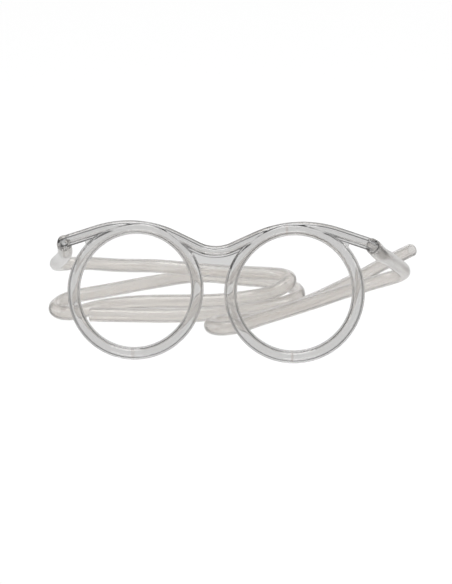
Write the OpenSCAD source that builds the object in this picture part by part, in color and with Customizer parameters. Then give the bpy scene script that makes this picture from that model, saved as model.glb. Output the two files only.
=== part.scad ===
// Drinking straw glasses: a hollow two-shell frame and two long soft hoses pushed onto its rear stubs.
// The frame stands on its ring bottoms and leans back against the hoses, which lie behind it.

/* [Rings] */
// Radius of each ring at the middle of its tube
ring_radius = 27.5; // [24:0.5:29]
// Distance between the two ring centres
ring_spacing = 69.6; // [68:0.2:74]
// Outer diameter of the ring tube
ring_od = 5.5; // [4.8:0.1:6.5]
// Inner diameter of the ring tube
ring_bore = 3.5; // [2.6:0.1:3.9]

/* [Brow] */
// Outer diameter of the brow tube
brow_od = 5.3; // [4.8:0.1:6.2]
// Inner diameter of the brow tube
brow_bore = 2.4; // [2:0.1:2.6]
// Radius of the brow's crown over each ring
crown_radius = 48; // [46:1:54]
// Radius of the dip over the nose
dip_radius = 18.6; // [16:0.2:21]
// How far the brow dips over the nose below its crowns
dip_depth = 10.9; // [9.5:0.1:12]
// Height of the crown's tube axis above the ring's tube axis
crown_rise = 0.5; // [0.2:0.1:1.5]
// Slope of the brow beside the nose, in degrees
nose_slope = 25; // [23:0.5:28]
// Slope of the brow's tails down to the tips, in degrees
tail_slope = 18; // [15:0.5:20]
// Distance between the two tips
tip_spacing = 135; // [132:0.5:140]

/* [Nose web] */
// Thickness of the flat web between the rings and the brow
web_t = 2; // [1.2:0.1:3]
// Height of the web's lower edge above the ring centres
web_low = 9.6; // [8.5:0.1:11]
// How far the web's lower edge arches up in its middle
web_arch = 0.6; // [0.2:0.1:1.2]
// Length of the small gusset outside each ring, along the brow
gusset_len = 2.6; // [1.5:0.1:3.5]

/* [Stubs] */
// Outer diameter of each tip: its round nose in front and its neck behind
tip_od = 5.5; // [5.4:0.1:6.4]
// Length of the neck behind each tip, up to the shoulder
neck_len = 2.7; // [2:0.1:4]
// Outer diameter of the stub that a hose slides over
stub_od = 4.5; // [4:0.1:4.9]
// Length of the stub behind the shoulder
stub_len = 11.2; // [9:0.1:12]
// Inner diameter of the stub
stub_bore = 2.8; // [2:0.1:3.2]
// How far each stub leans away from straight back, in degrees
stub_lean = 16; // [0:1:20]
// Direction of that lean, as degrees below straight outwards
stub_drop = 38; // [0:2:60]

/* [Hoses] */
// Wall of the soft hoses
hose_wall = 1; // [0.8:0.05:1.2]
// Radial clearance between stub and hose
swivel_gap = 0.05; // [0.02:0.01:0.08]
// Gap between the shoulder and the rim of the hose
rim_gap = 0.3; // [0.2:0.1:0.6]
// Straight length of each hose over its stub
sleeve_len = 12; // [11:0.5:13]
// Straight length at each hose's free end
end_len = 16; // [10:1:18]

/* [Stance] */
// How far the frame leans back, in degrees
lean = 25; // [20:1:30]

/* [Hidden] */
$fn = 64;
over = 0.01;

ring_x = ring_spacing / 2;
tip_x = tip_spacing / 2;
hose_bore = stub_od + 2 * swivel_gap;
hose_od = hose_bore + 2 * hose_wall;

// Brow line: a dip arc, a straight nose slope, a crown arc and a straight tail, all tangent
crown_h = ring_radius + crown_rise;
dip_h = crown_h - dip_depth;
crown_x = (crown_radius + dip_radius) * sin(nose_slope)
    + (dip_depth - (crown_radius + dip_radius) * (1 - cos(nose_slope))) / tan(nose_slope);
dip_end = [dip_radius * sin(nose_slope), dip_h + dip_radius * (1 - cos(nose_slope))];
crown_start = [crown_x - crown_radius * sin(nose_slope), crown_h - crown_radius * (1 - cos(nose_slope))];
crown_end = [crown_x + crown_radius * sin(tail_slope), crown_h - crown_radius * (1 - cos(tail_slope))];
tip_h = crown_end[1] - tan(tail_slope) * (tip_x - crown_end[0]);

// Stance: ring bottoms on the surface, frame centred front to back about the origin
low_y = -(ring_radius * sin(lean) + ring_od / 2);
stub_back = stub_dir(1)[1];
high_y = tip_h * sin(lean) + (neck_len + stub_len) * stub_back + stub_od / 2 * sqrt(1 - stub_back * stub_back);
frame_origin = [0, -(low_y + high_y) / 2, ring_radius * cos(lean) + ring_od / 2];

// Direction of each stub's axis, away from its tip, with the frame in its stance
function stub_dir(side) =
    let (
        out = cos(stub_drop) * sin(stub_lean),
        down = sin(stub_drop) * sin(stub_lean),
        back = cos(stub_lean))
    [side * out, back * cos(lean) - down * sin(lean), -back * sin(lean) - down * cos(lean)];

// A point s behind the tip, on the stub's axis, with the frame in its stance
function stub_point(side, s) =
    frame_origin + [side * tip_x, tip_h * sin(lean), tip_h * cos(lean)] + s * stub_dir(side);

// Hose routes, in the standing frame. The curve is drawn smoothly along these points.
left_route = [
    [-73, 24.5, 34.8], [-76, 34, 30.8], [-79.5, 44, 26.4], [-83.3, 54, 22], [-87.3, 64, 17.6],
    [-91.5, 73.8, 13.4], [-95, 82.5, 8.8], [-92, 90.5, 6.8], [-80, 90, 7.6], [-67.5, 84, 8.7], [-56, 80.5, 9.7],
    [-46, 78.5, 10.6], [-36, 77, 10.6], [-25, 76.5, 9.8], [-14, 75.5, 9.2], [-3, 73.5, 9.3], [7, 71, 10],
    [16, 68.5, 10.6], [23.5, 65, 11.2], [26.3, 58.5, 11.2], [22.8, 52.8, 9], [15, 52.3, 6], [5, 53, 4],
    [-7, 50, 3.3], [-20, 48.7, 3.3], [-33, 48, 3.3], [-44, 47, 3.3], [-54, 44, 3.3], [-61, 41, 3.3],
    [-66.5, 36.5, 3.3], [-71, 31, 3.3], [-77.5, 29.5, 3.3], [-83.5, 34.5, 3.3], [-84, 43, 3.3],
    [-80.5, 50.5, 3.3], [-74.5, 56, 3.3], [-66, 60.5, 3.3], [-57, 66.5, 3.3], [-48, 72.5, 3.3],
    [-38, 78.5, 3.3], [-28, 84.5, 3.3], [-17, 85.5, 3.3], [-7, 82.5, 3.3], [3, 80, 3.3], [13, 78.5, 3.3],
    [22, 75, 3.3], [28, 67.5, 3.3], [30, 58.5, 3.3], [26.5, 50, 3.3], [17, 44, 3.3], [6, 38, 3.3],
    [-6, 33.5, 3.3], [-18, 30.5, 3.3], [-29, 29.2, 3.3], [-38, 29.2, 3.3], [-48.5, 29.2, 3.3]];
right_route = [
    [72, 24.5, 35], [73.3, 33.5, 30.8], [74.5, 42.5, 26.6], [75.7, 51, 22.4], [77, 59.3, 18.2], [78.3, 67.2, 14],
    [78.3, 74.8, 9.5], [72.5, 77, 6.5], [65.5, 74, 5.5], [59.5, 70.5, 4.6], [54.5, 65.5, 4.5], [50, 59, 5.2],
    [45.5, 52, 5.8], [40, 45.5, 6], [34.3, 39.3, 6], [28, 32.8, 6], [21.8, 25.8, 6.2], [15.5, 18, 6.8],
    [10, 9.5, 7.2], [3.5, 5.5, 7], [-3.5, 8.5, 6], [-6, 15.5, 4.8], [-3, 22.5, 3.7], [4, 25, 3.3],
    [12.5, 27.5, 3.3], [20, 34, 3.3], [28, 42.5, 3.3], [36, 51.5, 3.3], [42, 61, 3.3], [48, 71, 3.3],
    [54.2, 81.5, 3.3], [59.6, 92.5, 3.3], [65.4, 104.3, 3.3], [71.6, 114.8, 3.3]];

// Hose tube: sides round it, rings per stretch between two points, and its slimmer root in the sleeve
hose_sides = 10;
ring_steps = 2;
root_len = 1;
root_inset = 0.3;
root_trim = 0.1;

function unit(v) = v / norm(v);

// Smooth curve through a stretch of four points, t from 0 to 1
function curve_at(q, i, t) =
    (pow(1 - t, 3) * q[i - 1] + (3 * pow(t, 3) - 6 * t * t + 4) * q[i]
    + (3 * t + 3 * t * t - 3 * pow(t, 3) + 1) * q[i + 1] + pow(t, 3) * q[i + 2]) / 6;

// The route with one more point before its start and one after its end, so the curve meets both ends
function extended(p) = let (n = len(p)) concat([2 * p[0] - p[1]], p, [2 * p[n - 1] - p[n - 2]]);

function curve_points(p, steps) =
    let (q = extended(p), n = len(p))
    concat([for (i = [1:n - 1]) for (k = [0:steps - 1]) curve_at(q, i, k / steps)], [p[n - 1]]);

// Direction of the curve at point i of a list
function heading(c, i) =
    unit(c[min(i + 1, len(c) - 1)] - c[max(i - 1, 0)]);

// One ring of vertices of the given radius about point i
function vertex_ring(c, i, r) =
    let (t = heading(c, i), u = unit(cross([0, 0, 1], t)), v = cross(t, u))
    [for (k = [0:hose_sides - 1]) let (a = 360 * k / hose_sides) c[i] + r * (cos(a) * u + sin(a) * v)];

// Length of a line of points, and its least gap to itself
function path_length(c, i = 0) = i >= len(c) - 1 ? 0 : norm(c[i + 1] - c[i]) + path_length(c, i + 1);
function self_gap(c, apart) =
    min([for (i = [0:len(c) - 1]) for (j = [i + apart:1:len(c) - 1]) norm(c[i] - c[j])]) - hose_od;
function gap_between(a, b) = min([for (p = a) for (q = b) norm(p - q)]) - hose_od;

// Two triangles for each side between ring i and ring i + 1 of a surface whose vertices start at base
function wall_faces(base, rings, flip) =
    [for (i = [0:rings - 2]) for (k = [0:hose_sides - 1])
        let (
            a = base + i * hose_sides + k,
            b = base + i * hose_sides + (k + 1) % hose_sides,
            c = b + hose_sides,
            d = a + hose_sides)
        each flip ? [[a, c, b], [a, d, c]] : [[a, b, c], [a, c, d]]];

// Two triangles for each side of a flat ring-shaped end face
function rim_faces(outer, inner, flip) =
    [for (k = [0:hose_sides - 1])
        let (m = (k + 1) % hose_sides, a = outer + k, b = outer + m, c = inner + m, d = inner + k)
        each flip ? [[a, c, b], [a, d, c]] : [[a, b, c], [a, c, d]]];

// Hollow tube along a curve. Its two ends are slimmer, where they lie inside the exact end sleeves.
module swept_hose(c) {
    n = len(c);
    root_outer = hose_od / 2 - root_trim;
    root_inner = hose_bore / 2 + root_inset;
    outer_r = [for (i = [0:n - 1]) i < 2 || i > n - 3 ? root_outer : hose_od / 2];
    inner_r = [for (i = [0:n - 1]) i < 2 || i > n - 3 ? root_inner : hose_bore / 2];
    outer = [for (i = [0:n - 1]) each vertex_ring(c, i, outer_r[i])];
    inner = [for (i = [0:n - 1]) each vertex_ring(c, i, inner_r[i])];
    far = (n - 1) * hose_sides;
    count = n * hose_sides;
    polyhedron(
        points = concat(outer, inner),
        faces = concat(
            wall_faces(0, n, true),
            wall_faces(count, n, false),
            rim_faces(0, count, false),
            rim_faces(far, count + far, true)),
        convexity = 12);
}

// Straight hose of length l from point p in direction d, with a true bore
module straight_hose(p, d, l) {
    turn = atan2(d[1], d[0]);
    tilt = acos(d[2]);
    translate(p) rotate([0, tilt, turn]) difference() {
        cylinder(d = hose_od, h = l);
        translate([0, 0, -over]) cylinder(d = hose_bore, h = l + 2 * over);
    }
}

// The whole line of a hose: from its rim, over the stub, along its route, to the start of its free end
function hose_line(side, route) =
    let (
        start = stub_point(side, neck_len + rim_gap + sleeve_len),
        line = curve_points(concat([start], route), ring_steps),
        last = route[len(route) - 1],
        end_dir = unit(last - route[len(route) - 2]))
    concat([start - root_len * stub_dir(side), start], [for (i = [1:len(line) - 1]) line[i]], [last + root_len * end_dir]);

module hose(side, route) {
    line = hose_line(side, route);
    last = route[len(route) - 1];
    end_dir = unit(last - route[len(route) - 2]);
    echo(hose = side, length = path_length(line) - 2 * root_len + sleeve_len + end_len, gap = self_gap(line, 5));
    union() {
        straight_hose(stub_point(side, neck_len + rim_gap), stub_dir(side), sleeve_len);
        swept_hose(line);
        straight_hose(last, end_dir, end_len);
    }
}

// Half of a round tube's section: the half at positive y where front is true, the other half otherwise
module half_disc(r, front) {
    intersection() {
        circle(r);
        translate([-r - over, front ? 0 : -r - over]) square([2 * (r + over), r + over]);
    }
}

// Both rings as exact solid half tubes of the given radius
module half_rings(r, front) {
    for (side = [-1, 1])
        translate([side * ring_x, 0, 0]) rotate_extrude($fn = 128) translate([ring_radius, 0]) half_disc(r, front);
}

// Half ball that rounds off the brow's tip in front
module front_ball(r) {
    rotate_extrude() intersection() {
        circle(r);
        square(r + over);
    }
}

// Points along the brow's axis, from the middle of its dip to one tip and then from tip to tip
brow_sides = 12;
dip_steps = 4;
crown_steps = 10;
half_path = concat(
    [for (i = [0:dip_steps]) let (a = nose_slope * i / dip_steps)
        [dip_radius * sin(a), dip_h + dip_radius * (1 - cos(a))]],
    [for (i = [0:crown_steps]) let (a = nose_slope - (nose_slope + tail_slope) * i / crown_steps)
        [crown_x - crown_radius * sin(a), crown_h - crown_radius * (1 - cos(a))]],
    [[tip_x, tip_h]]);
brow_path = concat([for (i = [len(half_path) - 1:-1:1]) [-half_path[i][0], half_path[i][1]]], half_path);

// The brow as a solid half tube of the given radius, its flat side on the frame's middle plane
module half_brow(r, front) {
    n = len(brow_path);
    m = brow_sides + 1;
    side = front ? 1 : -1;
    vertices = [for (i = [0:n - 1]) let (t = heading(brow_path, i), u = [-t[1], t[0]])
        each [for (k = [0:brow_sides]) let (a = 180 * k / brow_sides, q = brow_path[i] + r * cos(a) * u)
            [q[0], q[1], side * r * sin(a)]]];
    walls = [for (i = [0:n - 2]) for (k = [0:m - 1])
        let (a = i * m + k, b = i * m + (k + 1) % m, c = b + m, d = a + m)
        each front ? [[a, c, b], [a, d, c]] : [[a, b, c], [a, c, d]]];
    near_cap = [for (k = [0:m - 1]) front ? k : m - 1 - k];
    far_cap = [for (k = [0:m - 1]) (n - 1) * m + (front ? m - 1 - k : k)];
    polyhedron(points = vertices, faces = concat(walls, [near_cap, far_cap]), convexity = 8);
}

// Height of the brow's axis at x, beside the nose
function brow_h(x) =
    abs(x) < dip_end[0] ? dip_h + dip_radius - sqrt(dip_radius * dip_radius - x * x)
    : abs(x) < crown_start[0] ? dip_end[1] + tan(nose_slope) * (abs(x) - dip_end[0])
    : crown_h - crown_radius + sqrt(pow(crown_radius, 2) - pow(abs(x) - crown_x, 2));
function ring_h(x) = sqrt(pow(ring_radius, 2) - pow(x - ring_x, 2));
function ring_inner_x(h) = ring_x - sqrt(pow(ring_radius, 2) - h * h);

// Flat outline of the web between the rings, and of the two gussets outside them
module web_outline() {
    low_x = ring_inner_x(web_low);
    top_x = ring_x - ring_radius * cos(60);
    steps = 6;
    arch_r = (low_x * low_x + web_arch * web_arch) / (2 * web_arch);
    difference() {
        polygon(concat(
            [[-low_x, web_low], [low_x, web_low]],
            [for (i = [1:steps]) let (h = web_low + (ring_h(top_x) - web_low) * i / steps) [ring_inner_x(h), h]],
            [for (i = [-steps:steps]) let (x = -top_x * i / steps) [x, brow_h(x)]],
            [for (i = [steps:-1:1]) let (h = web_low + (ring_h(top_x) - web_low) * i / steps) [-ring_inner_x(h), h]]));
        translate([0, web_low + web_arch - arch_r]) circle(arch_r, $fn = 180);
    }
    gusset_x = crown_end[0] + gusset_len;
    for (side = [-1, 1]) {
        polygon([
            [side * (gusset_x - 2 * gusset_len), ring_h(gusset_x - 2 * gusset_len)],
            [side * (gusset_x - gusset_len), ring_h(gusset_x - gusset_len)],
            [side * (gusset_x + 1), ring_h(gusset_x + 1)],
            [side * (gusset_x + 3), brow_h(crown_end[0]) - tan(tail_slope) * (gusset_x + 3 - crown_end[0])],
            [side * crown_end[0], brow_h(crown_end[0])]]);
    }
}

// One half of the frame without its bores: x to the right, y up, z to the front, rings centred on y = 0
module half_outer(front) {
    half_rings(ring_od / 2, front);
    half_brow(brow_od / 2, front);
    translate([0, 0, front ? 0 : -web_t / 2]) linear_extrude(web_t / 2) web_outline();
}

module half_bores(front) {
    half_rings(ring_bore / 2, front);
    half_brow(brow_bore / 2, front);
}

module front_half() {
    difference() {
        union() {
            half_outer(true);
            for (side = [-1, 1]) translate([side * tip_x, tip_h, 0]) front_ball(tip_od / 2);
        }
        half_bores(true);
    }
}

// Places a piece that stands on the z axis at each tip, turned onto the stub's axis
module at_tips() {
    for (side = [-1, 1]) translate([side * tip_x, tip_h, 0])
        rotate(a = stub_lean, v = [-sin(stub_drop), -side * cos(stub_drop), 0]) children();
}

// Neck, shoulder and stub behind each tip, as one turned piece that reaches a little past the middle plane
tip_reach = 1;
module necks_and_stubs() {
    intersection() {
        at_tips() rotate_extrude() polygon([
            [0, tip_reach], [tip_od / 2, tip_reach], [tip_od / 2, -neck_len], [stub_od / 2, -neck_len],
            [stub_od / 2, -neck_len - stub_len], [0, -neck_len - stub_len]]);
        translate([-tip_spacing, -tip_spacing, -tip_spacing]) cube([2 * tip_spacing, 2 * tip_spacing, tip_spacing]);
    }
}

module back_half() {
    difference() {
        union() {
            half_outer(false);
            necks_and_stubs();
        }
        half_bores(false);
        at_tips() translate([0, 0, -neck_len - stub_len - over])
            cylinder(d = stub_bore, h = neck_len + stub_len + tip_reach + over);
    }
}

module in_stance() {
    translate(frame_origin) rotate([90 - lean, 0, 0]) children();
}

module front_shell() {
    color([0.86, 0.88, 0.89]) in_stance() front_half();
}

module back_shell() {
    color([0.78, 0.80, 0.82]) in_stance() back_half();
}

module left_hose() {
    color([0.80, 0.80, 0.78]) hose(-1, left_route);
}

module right_hose() {
    color([0.76, 0.77, 0.77]) hose(1, right_route);
    echo(hose_to_hose = gap_between(hose_line(-1, left_route), hose_line(1, right_route)));
}

front_shell();
back_shell();
left_hose();
right_hose();
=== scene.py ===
import bpy
import bmesh
from math import cos, sin, tan, pi, radians, sqrt
from mathutils import Euler, Matrix, Vector


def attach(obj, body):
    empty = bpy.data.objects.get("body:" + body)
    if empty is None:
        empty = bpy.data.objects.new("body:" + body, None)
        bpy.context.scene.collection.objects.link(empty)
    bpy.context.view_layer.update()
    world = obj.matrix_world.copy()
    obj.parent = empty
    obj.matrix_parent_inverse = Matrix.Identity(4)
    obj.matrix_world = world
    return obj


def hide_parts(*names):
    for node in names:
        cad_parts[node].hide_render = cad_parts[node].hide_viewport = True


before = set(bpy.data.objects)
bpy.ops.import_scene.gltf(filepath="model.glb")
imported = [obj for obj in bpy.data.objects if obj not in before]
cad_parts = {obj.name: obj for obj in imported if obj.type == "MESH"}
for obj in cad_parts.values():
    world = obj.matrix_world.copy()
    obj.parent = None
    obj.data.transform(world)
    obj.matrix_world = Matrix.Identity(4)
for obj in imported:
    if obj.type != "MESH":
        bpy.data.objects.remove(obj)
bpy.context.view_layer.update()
mm = 0.001
print("frame loaded")


# the camera, at the photograph's angle

cameraView = {
    "place": (0.10673, -0.60345, 0.24801),
    "tilt": radians(70.0637),
    "roll": radians(2.2606),
    "turn": radians(8.7780),
    "lens": 92.466,
    "sensor": 36.0,
    "nearest": 0.01,
}


def placeCamera(view):
    data = bpy.data.cameras.new("photoCamera")
    data.lens = view["lens"]
    data.sensor_width = view["sensor"]
    data.clip_start = view["nearest"]
    camera = bpy.data.objects.new("photoCamera", data)
    bpy.context.collection.objects.link(camera)
    turned = Euler((view["tilt"], view["roll"], view["turn"])).to_matrix().to_4x4()
    camera.matrix_world = Matrix.Translation(view["place"]) @ turned
    bpy.context.scene.camera = camera


placeCamera(cameraView)
print("camera placed")


# the hard frame's sizes in millimetres, and the way it stands

frameTube = {
    "ringRadius": 27.5,
    "ringSpacing": 69.6,
    "ringTube": 2.75,  # radii of the tubes and of their bores
    "ringBore": 1.75,
    "browTube": 2.65,
    "browBore": 1.2,
    "crownRadius": 48.0,
    "crownRise": 0.5,  # the brow's crowns above the rings
    "dipRadius": 18.6,
    "dipDepth": 10.9,  # the dip over the nose, below the crowns
    "noseSlope": radians(25),
    "tailSlope": radians(18),
    "tipSpacing": 135.0,
    "tipHeight": 20.93052,  # above the ring centres, where the tail's straight line comes to the tip
    "tipBall": 2.9,
    "elbow": 2.9,  # bend of the tube inside each tip's ball
    "neck": 2.7,  # from the tip back to the shoulder that the hose's rim meets
    "stub": 11.2,
    "stubTube": 2.25,
    "stubBore": 1.4,
    "stubLean": radians(16),  # away from straight back
    "stubDrop": radians(38),  # direction of that lean, below straight outwards
    "webHalf": 1.0,  # half the thickness of the web and the gussets
    "webLow": 9.6,
    "webArch": 0.6,
    "webTopAngle": radians(60),  # where on the rings the web ends
    "gusset": 2.6,
    "gussetInRing": 1.0,  # how far the gusset runs on into the ring and into the tail
    "gussetInTail": 3.0,
    "boreReach": 0.4,  # how far the cut for the bore passes the stubs' ends
    "lean": radians(25),
    "middleBack": -3.46731337,  # place of the point midway between the ring centres; its height follows
    "crease": radians(35),  # edges sharper than this stay sharp
    "sides": 32,
    "ringSteps": 180,
    "dipSteps": 12,
    "crownSteps": 40,
    "tailSteps": 10,
    "elbowSteps": 12,
    "stubSteps": 12,
    "rodSteps": 200,
    "webLowSteps": 12,
    "webSideSteps": 8,
    "webTopSteps": 24,
}


def browLine(t):
    # where the brow's dip, crowns and tails are: its arcs and straight stretches all meet smoothly
    radii = t["crownRadius"] + t["dipRadius"]
    crownH = t["ringRadius"] + t["crownRise"]
    straightDown = t["dipDepth"] - radii * (1 - cos(t["noseSlope"]))
    crownX = radii * sin(t["noseSlope"]) + straightDown / tan(t["noseSlope"])
    return {
        "crownX": crownX,
        "crownH": crownH,
        "dipH": crownH - t["dipDepth"],
        "dipEndX": t["dipRadius"] * sin(t["noseSlope"]),
        "crownStartX": crownX - t["crownRadius"] * sin(t["noseSlope"]),
        "crownEndX": crownX + t["crownRadius"] * sin(t["tailSlope"]),
        "tipX": t["tipSpacing"] / 2,
        "ringX": t["ringSpacing"] / 2,
    }


brow = browLine(frameTube)


def stubAxis(side):
    # direction of a stub away from its tip, in the frame's own axes
    a, b = frameTube["stubLean"], frameTube["stubDrop"]
    return Vector((side * sin(a) * cos(b), -sin(a) * sin(b), -cos(a)))


def inStance(x, h, z):
    # x to the right, h up the frame and z out of its front, from the middle between the rings, to metres
    t = frameTube
    c, s = cos(t["lean"]), sin(t["lean"])
    up = t["ringRadius"] * c + t["ringTube"]  # the rings' lowest points touch the table
    return Vector((x, t["middleBack"] + h * s - z * c, up + h * c + z * s)) * mm


def onStub(side, behind):
    tip = Vector((side * brow["tipX"], frameTube["tipHeight"], 0))
    return inStance(*(tip + stubAxis(side) * behind))


def newMesh(name, points, faces):
    mesh = bpy.data.meshes.new(name)
    mesh.from_pydata([tuple(p) for p in points], [], faces)
    mesh.update()
    piece = bpy.data.objects.new(name, mesh)
    bpy.context.collection.objects.link(piece)
    return piece


# small helpers for the node trees

def newNode(tree, kind, given=None, **settings):
    # given holds the inputs, by name or number: plain values, or outputs of other nodes
    node = tree.nodes.new(kind)
    for name, value in settings.items():
        setattr(node, name, value)
    for place, value in (given or {}).items():
        if isinstance(value, bpy.types.NodeSocket):
            tree.links.new(value, node.inputs[place])
        else:
            node.inputs[place].default_value = value
    return node


def mathStep(tree, operation, *values):
    return newNode(tree, "ShaderNodeMath", dict(enumerate(values)), operation=operation).outputs["Value"]


def vectorStep(tree, operation, given):
    return newNode(tree, "ShaderNodeVectorMath", given, operation=operation).outputs["Vector"]


def spreadStep(tree, value, fromRange, toRange):
    given = {"Value": value, "From Min": fromRange[0], "From Max": fromRange[1],
             "To Min": toRange[0], "To Max": toRange[1]}
    return newNode(tree, "ShaderNodeMapRange", given).outputs["Result"]


def colourStep(tree, share, first, second):
    # the mix node has several sockets of one name, so they are told apart by their identifiers
    mix = newNode(tree, "ShaderNodeMix", data_type="RGBA")
    spots = {s.identifier: s for s in mix.inputs}
    spots["A_Color"].default_value = (*first, 1)
    spots["B_Color"].default_value = (*second, 1)
    tree.links.new(share, spots["Factor_Float"])
    return {s.identifier: s for s in mix.outputs}["Result_Color"]


# a turned shape that Geometry Nodes lay along a route

def turnedShape(name, profile, sides):
    # profile is a list of (distance along, radius); a radius of 0 is a pole, and no pole means a closed ring
    points, rows, faces = [], [], []
    for along, radius in profile:
        count = 1 if radius == 0 else sides
        rows.append(range(len(points), len(points) + count))
        for k in range(count):
            a = 2 * pi * k / sides
            points.append((radius * cos(a), radius * sin(a), along))
    pairs = list(zip(rows[:-1], rows[1:]))
    if len(rows[0]) > 1:
        pairs.append((rows[-1], rows[0]))
    for low, high in pairs:
        for k in range(sides):
            m = (k + 1) % sides
            if len(low) == 1:
                faces.append((low[0], high[m], high[k]))
            elif len(high) == 1:
                faces.append((low[k], low[m], high[0]))
            else:
                faces.append((low[k], low[m], high[m], high[k]))
    return newMesh(name, points, faces)


def routeCurve(name, points):
    data = bpy.data.curves.new(name, "CURVE")
    data.dimensions = "3D"
    data.twist_mode = "MINIMUM"
    line = data.splines.new("POLY")
    line.points.add(len(points) - 1)
    for spot, p in zip(line.points, points):
        spot.co = (*p, 1)
    curve = bpy.data.objects.new(name, data)
    bpy.context.collection.objects.link(curve)
    return curve


def layingTree():
    # a point at height z of the straight shape goes to length z of the route, x and y across it
    tree = bpy.data.node_groups.new("layAlongRoute", "GeometryNodeTree")
    for name, kind in (("Geometry", "Geometry"), ("Route", "Object"), ("Finish", "Material")):
        tree.interface.new_socket(name, in_out="INPUT", socket_type="NodeSocket" + kind)
    tree.interface.new_socket("Geometry", in_out="OUTPUT", socket_type="NodeSocketGeometry")
    given = newNode(tree, "NodeGroupInput").outputs
    route = newNode(tree, "GeometryNodeObjectInfo", {"Object": given["Route"]}).outputs["Geometry"]
    place = newNode(tree, "GeometryNodeInputPosition").outputs["Position"]
    split = newNode(tree, "ShaderNodeSeparateXYZ", {"Vector": place}).outputs
    sample = newNode(tree, "GeometryNodeSampleCurve", {"Curves": route, "Length": split["Z"]}, mode="LENGTH")
    spot = sample.outputs
    across = vectorStep(tree, "CROSS_PRODUCT", {0: spot["Tangent"], 1: spot["Normal"]})
    sideways = vectorStep(tree, "SCALE", {0: spot["Normal"], "Scale": split["X"]})
    upwards = vectorStep(tree, "SCALE", {0: across, "Scale": split["Y"]})
    offset = vectorStep(tree, "ADD", {0: sideways, 1: upwards})
    laid = vectorStep(tree, "ADD", {0: offset, 1: spot["Position"]})
    moved = newNode(tree, "GeometryNodeSetPosition", {"Geometry": given["Geometry"], "Position": laid})
    real = newNode(tree, "GeometryNodeRealizeInstances", {"Geometry": moved.outputs["Geometry"]})
    painted = newNode(tree, "GeometryNodeSetMaterial",
                      {"Geometry": real.outputs["Geometry"], "Material": given["Finish"]})
    newNode(tree, "NodeGroupOutput", {"Geometry": painted.outputs["Geometry"]})
    return tree


layAlongRoute = layingTree()


def plainMesh(piece):
    # the piece's mesh with its modifiers worked in
    return bpy.data.meshes.new_from_object(piece.evaluated_get(bpy.context.evaluated_depsgraph_get()))


def laidAlong(straight, points, finish):
    # straight is the turned piece, its z running along the route; the result is a plain mesh
    route = routeCurve(straight.name + "Route", points)
    laying = straight.modifiers.new("lay", "NODES")
    laying.node_group = layAlongRoute
    ids = {s.name: s.identifier for s in layAlongRoute.interface.items_tree if s.in_out == "INPUT"}
    laying[ids["Route"]] = route
    laying[ids["Finish"]] = finish
    result = plainMesh(straight)
    straight.modifiers.clear()
    straight.data = result
    result.name = straight.name
    bpy.data.objects.remove(route)
    return straight


def lineLength(points):
    return sum((b - a).length for a, b in zip(points[:-1], points[1:]))


def smoothLine(points, steps):
    # smooth curve along the given points, starting and ending on the first and the last
    q = [2 * points[0] - points[1]] + points + [2 * points[-1] - points[-2]]
    line = []
    for i in range(1, len(q) - 2):
        for k in range(steps):
            t = k / steps
            line.append(((1 - t) ** 3 * q[i - 1] + (3 * t ** 3 - 6 * t * t + 4) * q[i]
                         + (3 * t + 3 * t * t - 3 * t ** 3 + 1) * q[i + 1] + t ** 3 * q[i + 2]) / 6)
    line.append(points[-1].copy())
    return line


# the two clear plastics

plasticGrain = {
    "hazeDetail": 6,
    "hazeBreak": 0.6,
    "hazeSpan": (0.35, 0.75),  # the part of the noise that is spread over the roughness
    "flowDetail": 2,
    "flowDepth": 0.0003,
}
clearFrameLook = {
    "colour": (0.915, 0.912, 0.908),
    "clear": 1.0,
    "bend": 1.50,  # refractive index
    "coat": 0.0,
    "coatRough": 0.03,
    "rough": (0.015, 0.05),
    "hazeScale": 90,
    "flowScale": 140,
    "flowStrength": 0.035,
    "shadow": (0.93, 0.93, 0.93),  # colour of the light that passes through to the table
}
clearHoseLook = {
    "colour": (0.985, 0.975, 0.96),
    "clear": 0.80,
    "bend": 1.42,
    "coat": 0.3,
    "coatRough": 0.055,
    "rough": (0.08, 0.15),
    "hazeScale": 70,
    "flowScale": 160,
    "flowStrength": 0.12,
    "shadow": (0.90, 0.90, 0.90),
}


def plasticMaterial(name, look):
    material = bpy.data.materials.new(name)
    material.use_nodes = True
    tree = material.node_tree
    shader = tree.nodes["Principled BSDF"]
    shader.inputs["Base Color"].default_value = (*look["colour"], 1)
    shader.inputs["Transmission Weight"].default_value = look["clear"]
    shader.inputs["IOR"].default_value = look["bend"]
    shader.inputs["Coat Weight"].default_value = look["coat"]
    shader.inputs["Coat Roughness"].default_value = look["coatRough"]
    shader.inputs["Coat IOR"].default_value = look["bend"]
    where = newNode(tree, "ShaderNodeTexCoord").outputs["Object"]
    # haze: roughness changes slowly over the surface, with fine handling marks in it
    haze = newNode(tree, "ShaderNodeTexNoise", {
        "Vector": where, "Scale": look["hazeScale"],
        "Detail": plasticGrain["hazeDetail"], "Roughness": plasticGrain["hazeBreak"]}).outputs["Fac"]
    rough = spreadStep(tree, haze, plasticGrain["hazeSpan"], look["rough"])
    tree.links.new(rough, shader.inputs["Roughness"])
    # flow: a shallow waviness from moulding or drawing
    flow = newNode(tree, "ShaderNodeTexNoise", {
        "Vector": where, "Scale": look["flowScale"], "Detail": plasticGrain["flowDetail"]}).outputs["Fac"]
    bump = newNode(tree, "ShaderNodeBump", {
        "Strength": look["flowStrength"], "Distance": plasticGrain["flowDepth"], "Height": flow})
    tree.links.new(bump.outputs["Normal"], shader.inputs["Normal"])
    # light passes through to the table, as it does through clear plastic
    path = newNode(tree, "ShaderNodeLightPath").outputs
    through = newNode(tree, "ShaderNodeBsdfTransparent", {"Color": (*look["shadow"], 1)}).outputs["BSDF"]
    mix = newNode(tree, "ShaderNodeMixShader", {
        0: path["Is Shadow Ray"], 1: shader.outputs["BSDF"], 2: through})
    tree.links.new(mix.outputs["Shader"], tree.nodes["Material Output"].inputs["Surface"])
    return material


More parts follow.
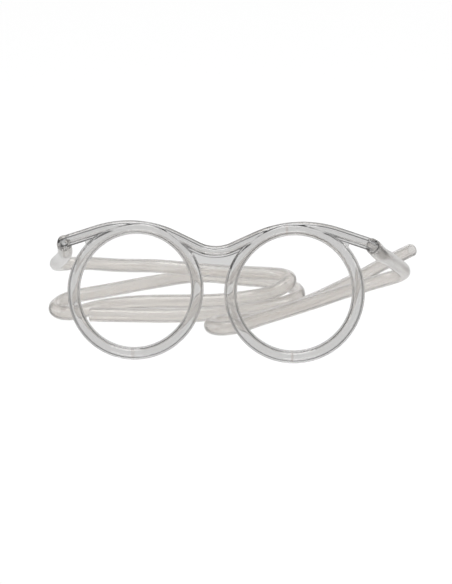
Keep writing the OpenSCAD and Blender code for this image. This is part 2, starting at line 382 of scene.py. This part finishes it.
weldMarks = {
    "middle": 0.0277,  # in metres: above this height a mark is at highX, below it at lowX
    "lowX": 0.0348,
    "highX": 0.0311,
    "width": (0.00012, 0.00045),  # full strength up to the first, gone at the second
    "tint": (0.66, 0.56, 0.50),
    "share": 0.7,
    "speckle": 900,
}


def addWeldMarks(material, look, marks):
    # faint warm lines across the tube, at the bottom of each ring and near the top of the right one
    tree = material.node_tree
    where = newNode(tree, "ShaderNodeTexCoord").outputs["Object"]
    split = newNode(tree, "ShaderNodeSeparateXYZ", {"Vector": where}).outputs
    high = mathStep(tree, "GREATER_THAN", split["Z"], marks["middle"])
    fold = mathStep(tree, "ABSOLUTE", split["X"])
    unfolded = mathStep(tree, "MULTIPLY", high, mathStep(tree, "SUBTRACT", split["X"], fold))
    across = mathStep(tree, "ADD", fold, unfolded)
    shift = mathStep(tree, "MULTIPLY", high, marks["highX"] - marks["lowX"])
    wanted = mathStep(tree, "ADD", shift, marks["lowX"])
    away = mathStep(tree, "ABSOLUTE", mathStep(tree, "SUBTRACT", across, wanted))
    band = spreadStep(tree, away, marks["width"], (marks["share"], 0))
    speckle = newNode(tree, "ShaderNodeTexNoise", {"Vector": where, "Scale": marks["speckle"]}).outputs["Fac"]
    tinted = colourStep(tree, mathStep(tree, "MULTIPLY", band, speckle), look["colour"], marks["tint"])
    tree.links.new(tinted, tree.nodes["Principled BSDF"].inputs["Base Color"])


drawnStreaks = {
    "slowness": 0.035,  # how slowly the pattern changes along the hose, against round it
    "scale": 1.9,
    "detail": 2,
    "span": (0.36, 0.64),
    "clear": (0.70, 0.90),  # least and most share of light that passes
    "tint": (0.89, 0.86, 0.83),
}


def addDrawnStreaks(material, look, streaks):
    # the hose was drawn lengthwise, so its haze and tint run in long soft streaks
    tree = material.node_tree
    shader = tree.nodes["Principled BSDF"]
    drawn = newNode(tree, "ShaderNodeAttribute", attribute_name="drawn").outputs["Vector"]
    streak = newNode(tree, "ShaderNodeTexNoise", {
        "Vector": drawn, "Scale": streaks["scale"], "Detail": streaks["detail"]}).outputs["Fac"]
    clear = spreadStep(tree, streak, streaks["span"], streaks["clear"])
    tree.links.new(clear, shader.inputs["Transmission Weight"])
    tree.links.new(colourStep(tree, streak, look["colour"], streaks["tint"]), shader.inputs["Base Color"])


clearFrame = plasticMaterial("clearFrame", clearFrameLook)
addWeldMarks(clearFrame, clearFrameLook, weldMarks)
clearHose = plasticMaterial("clearHose", clearHoseLook)
addDrawnStreaks(clearHose, clearHoseLook, drawnStreaks)
print("materials made")


# the two hoses, in millimetres

hoseSize = {
    "radius": 3.3,
    "bore": 2.3,
    "lip": 0.2,  # rounding of the cut ends
    "rimGap": 0.3,  # between the shoulder and the hose's rim
    "sleeve": 12.0,
    "freeEnd": 16.0,
    "ringStep": 0.9,
    "sides": 32,
    "lineSteps": 10,
}
# the routes have the same points as the hoses' solids
leftRoute = [
    (-73, 24.5, 34.8), (-76, 34, 30.8), (-79.5, 44, 26.4), (-83.3, 54, 22), (-87.3, 64, 17.6),
    (-91.5, 73.8, 13.4), (-95, 82.5, 8.8), (-92, 90.5, 6.8), (-80, 90, 7.6), (-67.5, 84, 8.7),
    (-56, 80.5, 9.7), (-46, 78.5, 10.6), (-36, 77, 10.6), (-25, 76.5, 9.8), (-14, 75.5, 9.2),
    (-3, 73.5, 9.3), (7, 71, 10), (16, 68.5, 10.6), (23.5, 65, 11.2), (26.3, 58.5, 11.2), (22.8, 52.8, 9),
    (15, 52.3, 6), (5, 53, 4), (-7, 50, 3.3), (-20, 48.7, 3.3), (-33, 48, 3.3), (-44, 47, 3.3),
    (-54, 44, 3.3), (-61, 41, 3.3), (-66.5, 36.5, 3.3), (-71, 31, 3.3), (-77.5, 29.5, 3.3),
    (-83.5, 34.5, 3.3), (-84, 43, 3.3), (-80.5, 50.5, 3.3), (-74.5, 56, 3.3), (-66, 60.5, 3.3),
    (-57, 66.5, 3.3), (-48, 72.5, 3.3), (-38, 78.5, 3.3), (-28, 84.5, 3.3), (-17, 85.5, 3.3),
    (-7, 82.5, 3.3), (3, 80, 3.3), (13, 78.5, 3.3), (22, 75, 3.3), (28, 67.5, 3.3), (30, 58.5, 3.3),
    (26.5, 50, 3.3), (17, 44, 3.3), (6, 38, 3.3), (-6, 33.5, 3.3), (-18, 30.5, 3.3), (-29, 29.2, 3.3),
    (-38, 29.2, 3.3), (-48.5, 29.2, 3.3)]
rightRoute = [
    (72, 24.5, 35), (73.3, 33.5, 30.8), (74.5, 42.5, 26.6), (75.7, 51, 22.4), (77, 59.3, 18.2),
    (78.3, 67.2, 14), (78.3, 74.8, 9.5), (72.5, 77, 6.5), (65.5, 74, 5.5), (59.5, 70.5, 4.6),
    (54.5, 65.5, 4.5), (50, 59, 5.2), (45.5, 52, 5.8), (40, 45.5, 6), (34.3, 39.3, 6), (28, 32.8, 6),
    (21.8, 25.8, 6.2), (15.5, 18, 6.8), (10, 9.5, 7.2), (3.5, 5.5, 7), (-3.5, 8.5, 6), (-6, 15.5, 4.8),
    (-3, 22.5, 3.7), (4, 25, 3.3), (12.5, 27.5, 3.3), (20, 34, 3.3), (28, 42.5, 3.3), (36, 51.5, 3.3),
    (42, 61, 3.3), (48, 71, 3.3), (54.2, 81.5, 3.3), (59.6, 92.5, 3.3), (65.4, 104.3, 3.3),
    (71.6, 114.8, 3.3)]


def hoseLine(side, route):
    # both straight ends, over the stub and at the free end, are cut in three for the smooth curve
    rim = frameTube["neck"] + hoseSize["rimGap"]
    sleeve = [onStub(side, rim + hoseSize["sleeve"] * k / 3) for k in range(4)]
    points = [Vector(p) * mm for p in route]
    ahead = (points[-1] - points[-2]).normalized() * mm * hoseSize["freeEnd"] / 3
    return smoothLine(sleeve + points + [points[-1] + ahead * k for k in (1, 2, 3)], hoseSize["lineSteps"])


def hoseProfile(length):
    # out of the bore over a rounded lip, along the outside, over the other lip and back through the bore
    outer, inner, lip = hoseSize["radius"] * mm, hoseSize["bore"] * mm, hoseSize["lip"] * mm
    count = round(length / (hoseSize["ringStep"] * mm))
    along = [lip + (length - 2 * lip) * i / count for i in range(count + 1)]
    soft = lip * (1 - sqrt(0.5))
    start = [(soft, inner + soft), (0, inner + lip), (0, outer - lip), (soft, outer - soft)]
    end = [(length - a, r) for a, r in reversed(start)]
    return start + [(a, outer) for a in along] + end + [(a, inner) for a in reversed(along)]


def makeHose(name, node, side, route):
    line = hoseLine(side, route)
    length = lineLength(line)
    straight = turnedShape(name, hoseProfile(length), hoseSize["sides"])
    drawn = straight.data.attributes.new("drawn", "FLOAT_VECTOR", "POINT")
    for point, spot in zip(straight.data.vertices, drawn.data):
        x, y, z = point.co / (hoseSize["radius"] * mm)
        spot.vector = (x, y, z * drawnStreaks["slowness"])
    hose = laidAlong(straight, line, clearHose)
    for face in hose.data.polygons:
        face.use_smooth = True
    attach(hose, node)
    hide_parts(node)
    print(name, "is", round(length, 4), "m long")


makeHose("leftDrinkingHose", "left_hose", -1, leftRoute)
makeHose("rightDrinkingHose", "right_hose", 1, rightRoute)
print("hoses made")


# the hard hollow frame

def browAxis():
    # from one stub's end, round its elbow, over the rings and the nose, to the other stub's end
    t = frameTube
    half = []
    for i in range(t["dipSteps"] + 1):
        a = t["noseSlope"] * i / t["dipSteps"]
        half.append((t["dipRadius"] * sin(a), brow["dipH"] + t["dipRadius"] * (1 - cos(a)), 0))
    for i in range(t["crownSteps"] + 1):
        a = t["noseSlope"] - (t["noseSlope"] + t["tailSlope"]) * i / t["crownSteps"]
        half.append((brow["crownX"] - t["crownRadius"] * sin(a),
                     brow["crownH"] - t["crownRadius"] * (1 - cos(a)), 0))
    out = Vector((cos(t["tailSlope"]), -sin(t["tailSlope"]), 0))
    back = stubAxis(1)
    tip = Vector((brow["tipX"], t["tipHeight"], 0))
    turn = out.angle(back)
    cut = t["elbow"] * tan(turn / 2)
    inward = (back - out * out.dot(back)).normalized()
    start = Vector(half[-1])
    straight = (tip - start).length - cut
    half += [tuple(start + out * straight * i / t["tailSteps"]) for i in range(1, t["tailSteps"] + 1)]
    centre = tip - out * cut + inward * t["elbow"]
    for i in range(1, t["elbowSteps"] + 1):
        a = turn * i / t["elbowSteps"]
        half.append(tuple(centre + t["elbow"] * (out * sin(a) - inward * cos(a))))
    rest = t["neck"] + t["stub"] - cut
    half += [tuple(tip + back * (cut + rest * i / t["stubSteps"])) for i in range(1, t["stubSteps"] + 1)]
    whole = [(-x, h, z) for x, h, z in reversed(half)] + half[1:]
    return [inStance(*p) for p in whole]


def rodProfile(length, shoulder, ends, middle):
    # a closed rod of radius middle, with both ends slimmer up to the shoulder
    steps = frameTube["rodSteps"]
    profile = [(0, 0), (0, ends), (shoulder / 2, ends), (shoulder, ends)]
    profile += [(shoulder + (length - 2 * shoulder) * i / steps, middle) for i in range(steps + 1)]
    profile += [(length - shoulder, ends), (length - shoulder / 2, ends), (length, ends), (length, 0)]
    return profile


def browRod(name, axis, shoulder, ends, middle):
    profile = rodProfile(lineLength(axis), shoulder * mm, ends * mm, middle * mm)
    return laidAlong(turnedShape(name, profile, frameTube["sides"]), axis, clearFrame)


def ringShape(name, side, radius):
    n, m = frameTube["ringSteps"], frameTube["sides"]
    points, faces = [], []
    for i in range(n):
        a = 2 * pi * i / n
        for k in range(m):
            b = 2 * pi * (k + 0.5) / m
            r = frameTube["ringRadius"] + radius * cos(b)
            points.append(inStance(side * brow["ringX"] + r * cos(a), r * sin(a), radius * sin(b)))
    for i in range(n):
        for k in range(m):
            a, b = i * m + k, i * m + (k + 1) % m
            c, d = ((i + 1) % n) * m + (k + 1) % m, ((i + 1) % n) * m + k
            faces.append((a, d, c, b))
    return newMesh(name, points, faces)


def tipBall(side):
    radius = frameTube["tipBall"]
    steps = frameTube["sides"] // 2
    profile = [(-radius, 0)]
    profile += [(-radius * cos(pi * i / steps), radius * sin(pi * i / steps)) for i in range(1, steps)]
    profile.append((radius, 0))
    ball = turnedShape("ball", profile, frameTube["sides"])
    for point in ball.data.vertices:
        x, h, z = point.co
        point.co = inStance(side * brow["tipX"] + x, frameTube["tipHeight"] + h, z)
    return ball


def browHeight(x):
    t = frameTube
    x = abs(x)
    if x < brow["dipEndX"]:
        return brow["dipH"] + t["dipRadius"] - sqrt(t["dipRadius"] ** 2 - x * x)
    if x < brow["crownStartX"]:
        dipEndH = brow["dipH"] + t["dipRadius"] * (1 - cos(t["noseSlope"]))
        return dipEndH + tan(t["noseSlope"]) * (x - brow["dipEndX"])
    return brow["crownH"] - t["crownRadius"] + sqrt(t["crownRadius"] ** 2 - (x - brow["crownX"]) ** 2)


def ringHeight(x):
    return sqrt(frameTube["ringRadius"] ** 2 - (x - brow["ringX"]) ** 2)


def ringInnerX(h):
    return brow["ringX"] - sqrt(frameTube["ringRadius"] ** 2 - h * h)


def plateShape(name, outline):
    # a flat plate on the frame's middle plane
    n, half = len(outline), frameTube["webHalf"]
    points = [inStance(x, h, z) for z in (half, -half) for x, h in outline]
    faces = [tuple(range(n)), tuple(range(2 * n - 1, n - 1, -1))]
    faces += [(i, n + i, n + (i + 1) % n, (i + 1) % n) for i in range(n)]
    plate = newMesh(name, points, faces)
    work = bmesh.new()
    work.from_mesh(plate.data)
    bmesh.ops.recalc_face_normals(work, faces=work.faces)
    work.to_mesh(plate.data)
    work.free()
    return plate


def webOutline():
    # along the arched lower edge, up the right ring, back under the brow and down the left ring
    t = frameTube
    lowX = ringInnerX(t["webLow"])
    topX = brow["ringX"] - t["ringRadius"] * cos(t["webTopAngle"])
    rise = ringHeight(topX) - t["webLow"]
    lowerX = [lowX * (2 * i / t["webLowSteps"] - 1) for i in range(t["webLowSteps"] + 1)]
    lower = [(x, t["webLow"] + t["webArch"] * (1 - (x / lowX) ** 2)) for x in lowerX]
    heights = [t["webLow"] + rise * i / t["webSideSteps"] for i in range(1, t["webSideSteps"] + 1)]
    right = [(ringInnerX(h), h) for h in heights]
    upperX = [topX * (1 - 2 * i / t["webTopSteps"]) for i in range(t["webTopSteps"] + 1)]
    left = [(-ringInnerX(h), h) for h in reversed(heights)]
    return lower + right + [(x, browHeight(x)) for x in upperX] + left


def gussetOutline(side):
    # the small corner between the ring's outside and the brow's tail
    start, length = brow["crownEndX"], frameTube["gusset"]
    x = start + length
    inRing, inTail = x + frameTube["gussetInRing"], x + frameTube["gussetInTail"]
    tail = browHeight(start) - tan(frameTube["tailSlope"]) * (inTail - start)
    outline = [(a, ringHeight(a)) for a in (x - 2 * length, x - length, inRing)]
    outline += [(inTail, tail), (start, browHeight(start))]
    return [(side * a, h) for a, h in outline]


def joinShapes(base, tools, operation):
    for tool in tools:
        cut = base.modifiers.new("join", "BOOLEAN")
        cut.operation = operation
        cut.solver = "EXACT"
        cut.object = tool
    mesh = plainMesh(base)
    base.modifiers.clear()
    base.data = mesh
    for tool in tools:
        bpy.data.objects.remove(tool)


def makeFrame():
    t = frameTube
    axis = browAxis()
    hollow = browRod("hollowFrame", axis, t["stub"], t["stubTube"], t["browTube"])
    outside = [ringShape("ring", side, t["ringTube"]) for side in (-1, 1)]
    outside += [tipBall(side) for side in (-1, 1)]
    outside.append(plateShape("web", webOutline()))
    outside += [plateShape("gusset", gussetOutline(side)) for side in (-1, 1)]
    joinShapes(hollow, outside, "UNION")
    print("frame's outside joined:", len(hollow.data.polygons), "faces")
    reach = t["boreReach"]
    first = (axis[0] - axis[1]).normalized() * reach * mm
    last = (axis[-1] - axis[-2]).normalized() * reach * mm
    longer = [axis[0] + first] + axis + [axis[-1] + last]
    inside = [ringShape("ringBore", side, t["ringBore"]) for side in (-1, 1)]
    inside.append(browRod("bore", longer, t["stub"] + reach, t["stubBore"], t["browBore"]))
    joinShapes(hollow, inside, "DIFFERENCE")
    mesh = hollow.data
    mesh.name = "hollowFrame"
    for face in mesh.polygons:
        face.use_smooth = True
    mesh.set_sharp_from_angle(angle=t["crease"])
    mesh.materials.clear()
    mesh.materials.append(clearFrame)
    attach(hollow, "frame")
    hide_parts("front_shell", "back_shell")
    print("hollow frame has", len(mesh.polygons), "faces")


makeFrame()
print("frame made")


# table paper, room and lamps

paperSheet = {
    "corners": ((-0.9, -0.7, 0), (0.9, -0.7, 0), (0.9, 1.1, 0), (-0.9, 1.1, 0)),
    "colour": (0.93, 0.93, 0.93),
    "rough": 0.9,
    "thinness": 0.9,  # how much of the room shows through
}
room = {
    "white": 1.05,
    # the light field lies about the first direction, and is wider or narrower towards the other two
    "ahead": (-0.157, 0.927, -0.341),
    "sideways": (0.988, 0.152, -0.039),
    "upward": (-0.015, 0.343, 0.939),
    "sideDarker": -0.36,
    "heightLighter": 0.12,
    # place, from sideways at 0 to straight ahead at 1, and light
    "field": ((0.0, 0.47), (0.20, 0.47), (0.30, 0.005), (0.60, 0.005), (0.76, 0.73)),
}
lamps = {
    "overheadSoftbox": {"place": (-0.15, 0.05, 0.9), "aim": (0, 0.05, 0), "size": (0.6, 0.4), "power": 2.5},
    "leftSoftbox": {"place": (-0.8, -0.35, 0.55), "aim": (0, 0.05, 0.02), "size": (0.2, 0.6), "power": 0.9},
    "rightSoftbox": {"place": (0.8, -0.1, 0.6), "aim": (0, 0.05, 0.02), "size": (0.2, 0.6), "power": 1.2},
}


def whitePaper():
    # a thin sheet that takes the object's shadow and lets the room show through, also inside the plastic
    material = bpy.data.materials.new("whitePaper")
    material.use_nodes = True
    tree = material.node_tree
    shader = tree.nodes["Principled BSDF"]
    shader.inputs["Base Color"].default_value = (*paperSheet["colour"], 1)
    shader.inputs["Roughness"].default_value = paperSheet["rough"]
    path = newNode(tree, "ShaderNodeLightPath").outputs
    seen = mathStep(tree, "MAXIMUM", path["Is Camera Ray"], path["Is Glossy Ray"])
    shown = mathStep(tree, "MAXIMUM", seen, path["Is Transmission Ray"])
    share = mathStep(tree, "MULTIPLY", shown, paperSheet["thinness"])
    through = newNode(tree, "ShaderNodeBsdfTransparent").outputs["BSDF"]
    mix = newNode(tree, "ShaderNodeMixShader", {0: share, 1: shader.outputs["BSDF"], 2: through})
    tree.links.new(mix.outputs["Shader"], tree.nodes["Material Output"].inputs["Surface"])
    return material


def makeStage():
    # only a flat sheet, so that the object can be seen from all sides; the room beyond it is white
    paper = newMesh("paperSheet", paperSheet["corners"], [(0, 1, 2, 3)])
    paper.data.materials.append(whitePaper())


def brightField(tree):
    # what the clear plastic shows of the room: a light field beyond the object and a dark band round it,
    # which draws the thin dark lines along the bores
    direction = newNode(tree, "ShaderNodeTexCoord").outputs["Generated"]

    def along(axis):
        dot = newNode(tree, "ShaderNodeVectorMath", {0: direction, 1: axis}, operation="DOT_PRODUCT")
        return dot.outputs["Value"]

    value = along(room["ahead"])
    for axis, share in ((room["sideways"], room["sideDarker"]), (room["upward"], room["heightLighter"])):
        value = mathStep(tree, "MULTIPLY_ADD", mathStep(tree, "ABSOLUTE", along(axis)), share, value)
    field = newNode(tree, "ShaderNodeValToRGB", {"Fac": value})
    stops = field.color_ramp.elements
    while len(stops) < len(room["field"]):
        stops.new(1.0)
    for stop, (place, light) in zip(stops, room["field"]):
        stop.position = place
        stop.color = (light, light, light, 1)
    return field.outputs["Color"]


def makeRoom():
    # white to the eye, and the light field to the plastic
    world = bpy.data.worlds.new("room")
    bpy.context.scene.world = world
    world.use_nodes = True
    tree = world.node_tree
    ground = tree.nodes["Background"]
    ground.inputs["Color"].default_value = (1, 1, 1, 1)
    path = newNode(tree, "ShaderNodeLightPath").outputs
    white = mathStep(tree, "MULTIPLY", path["Is Camera Ray"], room["white"])
    tree.links.new(mathStep(tree, "MAXIMUM", brightField(tree), white), ground.inputs["Strength"])


def makeLamp(name, lamp):
    data = bpy.data.lights.new(name, "AREA")
    data.shape = "RECTANGLE"
    data.size, data.size_y = lamp["size"]
    data.energy = lamp["power"]
    light = bpy.data.objects.new(name, data)
    bpy.context.collection.objects.link(light)
    light.location = lamp["place"]
    light.rotation_euler = (Vector(lamp["aim"]) - Vector(lamp["place"])).to_track_quat("-Z", "Y").to_euler()


makeStage()
makeRoom()
for name, lamp in lamps.items():
    makeLamp(name, lamp)
bpy.context.scene.view_settings.view_transform = "Standard"
print("stage and lamps made")
